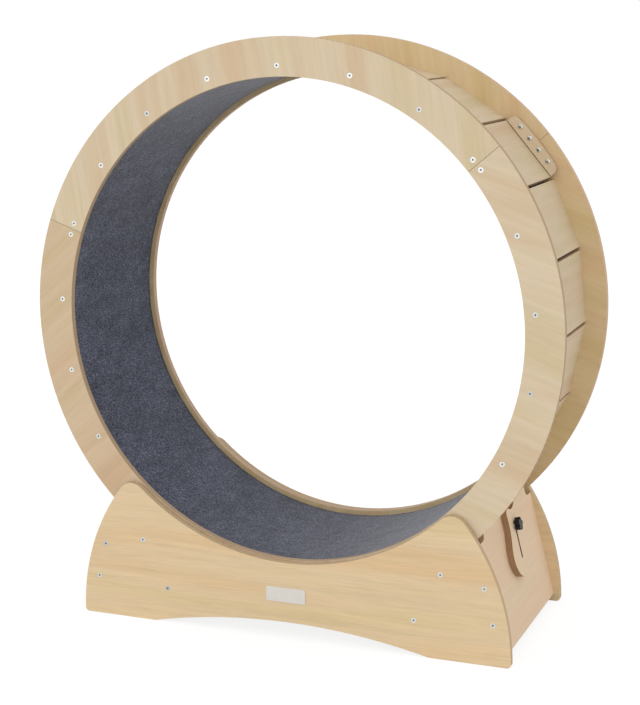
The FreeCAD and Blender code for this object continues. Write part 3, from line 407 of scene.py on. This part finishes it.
def zinc(name, colour, roughness):
    """Zinc plating that differs a little from one screw to the next."""
    paint = Paint(name)
    marks = paint.noise(paint.position(), scale=MARK_SCALE, detail=3)
    tint, rough = paint.worn(marks, colour, roughness, darkest=0.94, spread=0.2)
    batch = paint.noise(paint.position(), scale=BATCH_SCALE, detail=1)
    tint = paint.shade(tint, paint.levels(batch, *BATCH_SHADE))
    return paint.finish(tint, rough, metallic=1.0)


def moulded(name, colour, roughness, grain=0.03 * MM, shine=0.5):
    """Plastic or rubber with a fine skin, or wood painted dark as shade. Grain is how deep the skin is."""
    paint = Paint(name)
    skin = paint.noise(paint.position(), scale=SKIN_SCALE, detail=2)
    marks = paint.noise(paint.position(), scale=WEAR_SCALE, detail=2)
    tint, rough = paint.worn(marks, colour, roughness, darkest=0.97, spread=0.12)
    return paint.finish(tint, rough, height=skin, depth=grain, specular_ior_level=shine)


# ------------------------------------------------------------------ meshes

def copy_of(node):
    """The node's mesh, with its flat faces made whole."""
    mesh = bmesh.new()
    mesh.from_mesh(frame["nodes"][node].data)
    bmesh.ops.remove_doubles(mesh, verts=mesh.verts, dist=SAME_POINT)
    bmesh.ops.dissolve_limit(mesh, angle_limit=SAME_PLANE, verts=mesh.verts, edges=mesh.edges)
    return mesh


def ease(mesh, width=EASE):
    """Break the square edges. The new faces take the first material."""
    edges = [e for e in mesh.edges if len(e.link_faces) == 2 and e.calc_face_angle() > EASED_ABOVE]
    bmesh.ops.bevel(mesh, geom=edges, offset=width, segments=2, profile=0.5, affect="EDGES",
                    clamp_overlap=True, material=0)


def close(mesh, rows):
    """Join rows of points, each a loop, into one closed skin that runs on from the last row to the first."""
    size = len(rows[0])
    for row, following in zip(rows, rows[1:] + rows[:1]):
        for k in range(size):
            mesh.faces.new((row[k], row[(k + 1) % size], following[(k + 1) % size], following[k]))
    bmesh.ops.recalc_face_normals(mesh, faces=mesh.faces)


def placed(name, data):
    """A new object in the scene."""
    made = bpy.data.objects.new(name, data)
    bpy.context.scene.collection.objects.link(made)
    return made


def piece(name, mesh, materials, replaced):
    """Turn a bmesh into a piece of the object, on the body of the nodes that it replaces."""
    data = bpy.data.meshes.new(name)
    mesh.to_mesh(data)
    mesh.free()
    for material in materials:
        data.materials.append(material)
    data.shade_smooth()
    data.set_sharp_from_angle(angle=SHARP)
    made = placed(name, data)
    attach(made, frame["nodes"][replaced[0]]["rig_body"])
    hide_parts(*replaced)
    return made


def board(node, normal, along, seed, palette=BIRCH, edges=PALE_LAYERS, figure=1.0):
    """A plywood board: veneer on its two faces, layers on its edges, and every square edge broken."""
    mesh = copy_of(node)
    for face in mesh.faces:
        face.material_index = 0 if abs(face.normal.dot(normal)) > BOARD_FACE else 1
    depths = [normal.dot(vertex.co) for vertex in mesh.verts]
    middle = (min(depths) + max(depths)) / 2
    ease(mesh)
    materials = [veneer(node + "_veneer", along, normal.cross(along), seed, palette, figure),
                 layers(node + "_layers", normal, middle, seed, edges)]
    made = piece(node + "_board", mesh, materials, replaced=[node])
    outline(made.data, normal)
    return made


def outline(data, normal):
    """Mark the edges of a board's two faces as sharp, so that both are shaded flat."""
    keys = set()
    for face in data.polygons:
        if abs(face.normal.dot(normal)) > FLAT:
            keys.update(face.edge_keys)
    for edge in data.edges:
        if edge.key in keys:
            edge.use_edge_sharp = True


def around(node):
    """The direction from the wheel's hub to the middle of a node, square to the axle."""
    data = frame["nodes"][node].data
    middle = sum((vertex.co for vertex in data.vertices), Vector()) / len(data.vertices)
    return Vector((middle.x - HUB.x, 0, middle.z - HUB.z)).normalized()


# ------------------------------------------------------------------ the wheel

def rings():
    for side_number, side in enumerate(("front", "back")):
        for number in range(1, RING_SEGMENTS + 1):
            node = "%s_ring_segment_%d" % (side, number)
            palette, edges = (WARM_BIRCH if number == 2 else BIRCH), PALE_LAYERS
            if side == "back":
                # The back ring's edges take the lighter layers: painted light
                palette, edges = GOLDEN_BIRCH, BACK_RING_PAINTED_LIGHT_LAYERS
            seed = SIDE_STEP * side_number + number * RING_STEP
            board(node, Y, around(node), seed, palette, edges, figure=0.75)
            node = "%s_joiner_plate_%d" % (side, number)
            seed = JOINER_SEED + SIDE_STEP * side_number + number * JOINER_STEP
            board(node, Y, around(node).cross(Y), seed)


def slat_nodes():
    return sorted(name for name in frame["nodes"] if name.startswith("slat_"))


def slats():
    for number, node in enumerate(slat_nodes()):
        seed = SLAT_SEED + number * SLAT_STEP
        # The slats take the darker birch: painted shade
        board(node, around(node), Y, seed, PAINTED_SHADE_BIRCH, figure=0.5)


def lining():
    """A closed band of felt with rounded edges and an uneven nap."""
    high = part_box("running_carpet")[1]
    outer = high.x
    inner = outer - FELT_THICKNESS
    half = high.y - FELT_INSET
    # The band cut across, as (place along Y, radius, share of the nap), starting on its inside
    section = []
    count = round(2 * (half - FELT_ROUND) / FELT_STEP)
    for k in range(count + 1):
        section.append((FELT_ROUND - half + k * 2 * (half - FELT_ROUND) / count, inner, 1.0))
    corner = []
    for k in range(1, CORNER_STEPS):
        angle = math.pi / 2 * k / CORNER_STEPS
        corner.append((FELT_ROUND * math.sin(angle), FELT_ROUND * (1 - math.cos(angle))))
    section += [(half - FELT_ROUND + out, inner + up, 1 - up / FELT_ROUND) for out, up in corner]
    section += [(half, inner + FELT_ROUND, 0.0), (half, outer, 0.0), (0, outer, 0.0), (-half, outer, 0.0)]
    section += [(-half, inner + FELT_ROUND, 0.0)]
    section += [(FELT_ROUND - half - out, inner + up, 1 - up / FELT_ROUND) for out, up in reversed(corner)]
    turns = round(2 * math.pi * inner / FELT_STEP)
    mesh = bmesh.new()
    hoops = []
    for turn in range(turns):
        angle = 2 * math.pi * turn / turns
        outward = Vector((math.cos(angle), 0, math.sin(angle)))
        hoop = []
        for y, radius, free in section:
            place = HUB + outward * radius + Y * y
            lump = sum(noise.noise(place * scale) * size for scale, size in NAP)
            hoop.append(mesh.verts.new(place + outward * lump * free * MM))
        hoops.append(hoop)
    close(mesh, hoops)
    made = piece("felt_lining", mesh, [felt(half)], replaced=["running_carpet"])


# ------------------------------------------------------------------ screws

def screws(node, head_at, bright, recess):
    """Screws along Y whose heads are head_at from the middle. Their recesses are painted darker, as shade.
    """
    mesh = copy_of(node)
    for face in mesh.faces:
        depth = abs(abs(face.calc_center_median().y) - head_at)
        facing = abs(face.normal.y)
        floor_of_it = facing > FLOOR_FACING and depth > RECESS_FLOOR
        sunk = depth < RECESS_DEPTH and (facing < WALL_FACING or floor_of_it)
        face.material_index = 1 if sunk else 0
    piece(node + "_zinc", mesh, [bright, recess], replaced=[node])


def all_screws():
    bright = zinc("zinc_head", (240, 241, 236), 0.34)
    dull = zinc("dull_zinc_head", (222, 226, 222), 0.42)
    # Painted shade: the recesses in the screw heads are darker
    recess = zinc("zinc_recess_painted_shade", (104, 126, 142), 0.5)
    for side in ("front", "back"):
        for kind, head in (("ring", bright), ("panel", dull)):
            node = "%s_%s_screws" % (side, kind)
            low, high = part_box(node)
            screws(node, max(abs(low.y), abs(high.y)), head, recess)
    heads = min(abs(vertex.co.y) for vertex in frame["nodes"]["joiner_screws"].data.vertices)
    screws("joiner_screws", heads, bright, recess)


# ------------------------------------------------------------------ the stand

def stand():
    # The side and end panels' edges take the lighter layers: painted light
    for number, side in enumerate(("front", "back")):
        seed = SIDE_PANEL_SEED + SIDE_PANEL_STEP * number
        board(side + "_side_panel", Y, X, seed, PANEL_BIRCH, PAINTED_LIGHT_STAND_LAYERS, figure=1.25)
    lean = Vector((-BRAKE_NORMAL.x, 0, BRAKE_NORMAL.z))
    for number, (end, normal) in enumerate((("right", BRAKE_NORMAL), ("left", lean))):
        seed = END_PANEL_SEED + END_PANEL_STEP * number
        board(end + "_end_panel", normal, Y, seed, PINK_BIRCH, PAINTED_LIGHT_STAND_LAYERS, figure=0.5)
    for number, end in enumerate(("left", "right")):
        rail(end + "_cross_rail", RAIL_SEED + number)
    mesh = copy_of("nameplate")
    ease(mesh, PLATE_EASE)
    blank = moulded("plate", (228, 223, 216), 0.45, 0.01 * MM)
    piece("nameplate_blank", mesh, [blank], replaced=["nameplate"])


def rail(node, seed):
    """A planed softwood rail with its grain along Y."""
    mesh = copy_of(node)
    ease(mesh, RAIL_EASE)
    wood = veneer(node + "_grain", Y, X, seed, PINE)
    piece(node + "_wood", mesh, [wood], replaced=[node])


# ------------------------------------------------------------------ rollers

def lathe(profile, matrix, sides=72, lobed=None):
    """Turn a closed profile of (radius, height) about the matrix's Z axis. Lobed gives a radius by angle."""
    mesh = bmesh.new()
    rows = []
    for radius, height in profile:
        row = []
        for k in range(sides):
            angle = 2 * math.pi * k / sides
            reach = lobed(radius, angle) if lobed else radius
            spot = Vector((reach * math.cos(angle), reach * math.sin(angle), height))
            row.append(mesh.verts.new(matrix @ spot))
        rows.append(row)
    close(mesh, rows)
    return mesh


def rollers():
    rubber = moulded("roller_rubber", (38, 38, 40), 0.62)
    hub_plastic = moulded("roller_hub", (196, 196, 192), 0.45)
    for side in ("front", "back"):
        for end in ("left", "right"):
            node = "%s_%s_roller" % (side, end)
            low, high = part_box(node)
            place = Matrix.Translation(Vector(((low.x + high.x) / 2, low.y, (low.z + high.z) / 2)))
            place = place @ Matrix.Rotation(-math.pi / 2, 4, "X")
            radius, width = (high.x - low.x) / 2, high.y - low.y
            eased = TREAD_EASE * TREAD_ROUND
            profile = [(HUB_BORE, 0), (HUB_BOSS, 0), (HUB_BOSS, HUB_SUNK), (HUB_WEB, HUB_SUNK),
                       (HUB_RIM, HUB_LIP), (radius - TREAD_ROUND, 0), (radius - eased, eased),
                       (radius, TREAD_ROUND)]
            profile += [(r, width - h) for r, h in reversed(profile)]
            mesh = lathe(profile, place)
            for face in mesh.faces:
                middle = face.calc_center_median()
                reach = math.hypot(middle.x - place.translation.x, middle.z - place.translation.z)
                face.material_index = 1 if reach < TYRE_FROM else 0
            piece(node + "_tyre", mesh, [rubber, hub_plastic], replaced=[node])


def small_parts():
    """Nodes that keep their own meshes."""
    steel = zinc("ground_steel", (206, 208, 212), 0.3)
    black = moulded("collar_plastic", (44, 44, 46), 0.5)
    for node in ("left_roller_shaft", "right_roller_shaft", "brake_stud", "brake_washers"):
        coat(node, steel)
    coat("roller_collars", black)


def coat(node, material):
    data = frame["nodes"][node].data
    data.materials.clear()
    data.materials.append(material)


# ------------------------------------------------------------------ brake

def brake():
    """The plate that the knob clamps, painted dark as shade on the walls inside its slot, and the knob."""
    plate = board("brake_plate", BRAKE_NORMAL, Y, BRAKE_SEED, PINK_BIRCH, BROWN_LAYERS,
                  figure=0.5)
    # The slot's walls get the dark brown: painted shade inside the slot
    plate.data.materials.append(moulded("painted_slot_shade", PAINTED_SLOT_SHADE, 0.8, shine=0.2))
    slot_middle = JOINTS_AT["knob_turn"] - BRAKE_SLOPE * SLOT_BELOW_KNOB
    for face in plate.data.polygons:
        off = face.center - slot_middle
        in_slot = abs(off.y) < SLOT_HALF_WIDTH and abs(off.dot(BRAKE_SLOPE)) < SLOT_HALF_LENGTH
        if face.material_index == 1 and in_slot:
            face.material_index = 2
    knob()


def lobe_reach(angle):
    """The knob's radius at an angle, with a lobe along each fifth of a turn from angle 0."""
    step = 2 * math.pi / KNOB_LOBES
    off = (angle + step / 2) % step - step / 2
    orbit = KNOB_RADIUS - LOBE_RADIUS
    inside = LOBE_RADIUS ** 2 - (orbit * math.sin(off)) ** 2
    lobe = orbit * math.cos(off) + math.sqrt(inside) if inside > 0 else 0
    return max(KNOB_WAIST, lobe)


def knob():
    """A moulded knob with rounded lobes, a sunk cap in its top and a blind bore."""
    def lobed(radius, angle):
        if radius < KNOB_CAP:
            return radius
        return radius - KNOB_RADIUS + lobe_reach(angle)

    turned = Matrix((Y, BRAKE_SLOPE, BRAKE_NORMAL)).transposed().to_4x4()
    matrix = Matrix.Translation(JOINTS_AT["knob_turn"]) @ turned
    profile = [(radius * MM, height * MM) for radius, height in KNOB_PROFILE]
    mesh = lathe(profile, matrix, KNOB_SIDES, lobed)
    plastic = moulded("knob_plastic", (14, 14, 14), 0.4, shine=0.3)
    piece("brake_knob_lobes", mesh, [plastic], replaced=["brake_knob"])


# ------------------------------------------------------------------ studio

def seen_directly(tree):
    """1 where the camera sees a surface itself, in a reflection or through glass."""
    path = tree.nodes.new("ShaderNodeLightPath")
    level = path.outputs["Is Camera Ray"]
    for other in ("Is Glossy Ray", "Is Transmission Ray"):
        larger = tree.nodes.new("ShaderNodeMath")
        larger.operation = "MAXIMUM"
        tree.links.new(level, larger.inputs[0])
        tree.links.new(path.outputs[other], larger.inputs[1])
        level = larger.outputs[0]
    return level


def background(tree, strength):
    made = tree.nodes.new("ShaderNodeBackground")
    made.inputs[0].default_value = (1, 1, 1, 1)
    made.inputs[1].default_value = strength
    return made


def world():
    """White light on the object, and plain white where the camera sees past it."""
    made = bpy.data.worlds.new("studio")
    bpy.context.scene.world = made
    made.use_nodes = True
    tree = made.node_tree
    tree.nodes.clear()
    light, white = background(tree, WORLD_STRENGTH), background(tree, 1.0)
    mixed, output = tree.nodes.new("ShaderNodeMixShader"), tree.nodes.new("ShaderNodeOutputWorld")
    tree.links.new(seen_directly(tree), mixed.inputs[0])
    tree.links.new(light.outputs[0], mixed.inputs[1])
    tree.links.new(white.outputs[0], mixed.inputs[2])
    tree.links.new(mixed.outputs[0], output.inputs[0])


def floor():
    """A pale floor: the camera sees it near white, with a faint shadow."""
    mesh = bpy.data.meshes.new("floor")
    reach = FLOOR_SIZE / 2
    corners = ((-reach, -reach), (reach, -reach), (reach, reach), (-reach, reach))
    mesh.from_pydata([(x, y, -FLOOR_DROP) for x, y in corners], [], [(0, 1, 2, 3)])
    made = placed("floor", mesh)
    paint = Paint("floor")
    plain = paint.node("BsdfDiffuse", {0: (FLOOR_WHITE, FLOOR_WHITE, FLOOR_WHITE, 1)})
    shaded = paint.node("BsdfDiffuse", {0: (FLOOR_SHADE, FLOOR_SHADE, FLOOR_SHADE, 1)})
    glow = paint.node("Emission", {0: (1, 1, 1, 1), 1: FLOOR_GLOW})
    both = paint.node("AddShader", {0: shaded.outputs[0], 1: glow.outputs[0]})
    mixed = paint.node("MixShader", {0: seen_directly(paint.tree), 1: plain.outputs[0], 2: both.outputs[0]})
    paint.node("OutputMaterial", {0: mixed.outputs[0]})
    mesh.materials.append(paint.material)


def direction(azimuth, elevation):
    """The direction at an azimuth, counted from -Y towards +X, and an elevation, both in degrees."""
    azimuth, elevation = math.radians(azimuth), math.radians(elevation)
    level = math.cos(elevation)
    return Vector((math.sin(azimuth) * level, -math.cos(azimuth) * level, math.sin(elevation)))


def lamp(name, strength, azimuth, elevation):
    """A very soft sun that shines from a direction."""
    data = bpy.data.lights.new(name, "SUN")
    data.energy = strength
    data.angle = math.radians(LAMP_SPREAD)
    made = placed(name, data)
    made.rotation_mode = "QUATERNION"
    made.rotation_quaternion = direction(azimuth, elevation).to_track_quat("Z", "Y")


def camera():
    azimuth, roll = math.radians(CAMERA_AZIMUTH), math.radians(CAMERA_ROLL)
    back = direction(CAMERA_AZIMUTH, CAMERA_ELEVATION)
    right = Vector((math.cos(azimuth), math.sin(azimuth), 0))
    up = back.cross(right)
    turned_right = right * math.cos(roll) + up * math.sin(roll)
    turned_up = up * math.cos(roll) - right * math.sin(roll)
    data = bpy.data.cameras.new("camera")
    data.sensor_width = CAMERA_SENSOR
    data.lens = CAMERA_LENS
    made = placed("camera", data)
    turned = Matrix((turned_right, turned_up, back)).transposed().to_4x4()
    made.matrix_world = Matrix.Translation(CAMERA_PLACE) @ turned
    bpy.context.scene.camera = made


def studio():
    bpy.context.scene.view_settings.view_transform = "Standard"
    world()
    floor()
    lamp("key", KEY_STRENGTH, *KEY_FROM)
    lamp("fill", FILL_STRENGTH, *FILL_FROM)


camera()
studio()
rings()
slats()
lining()
all_screws()
stand()
rollers()
small_parts()
brake()
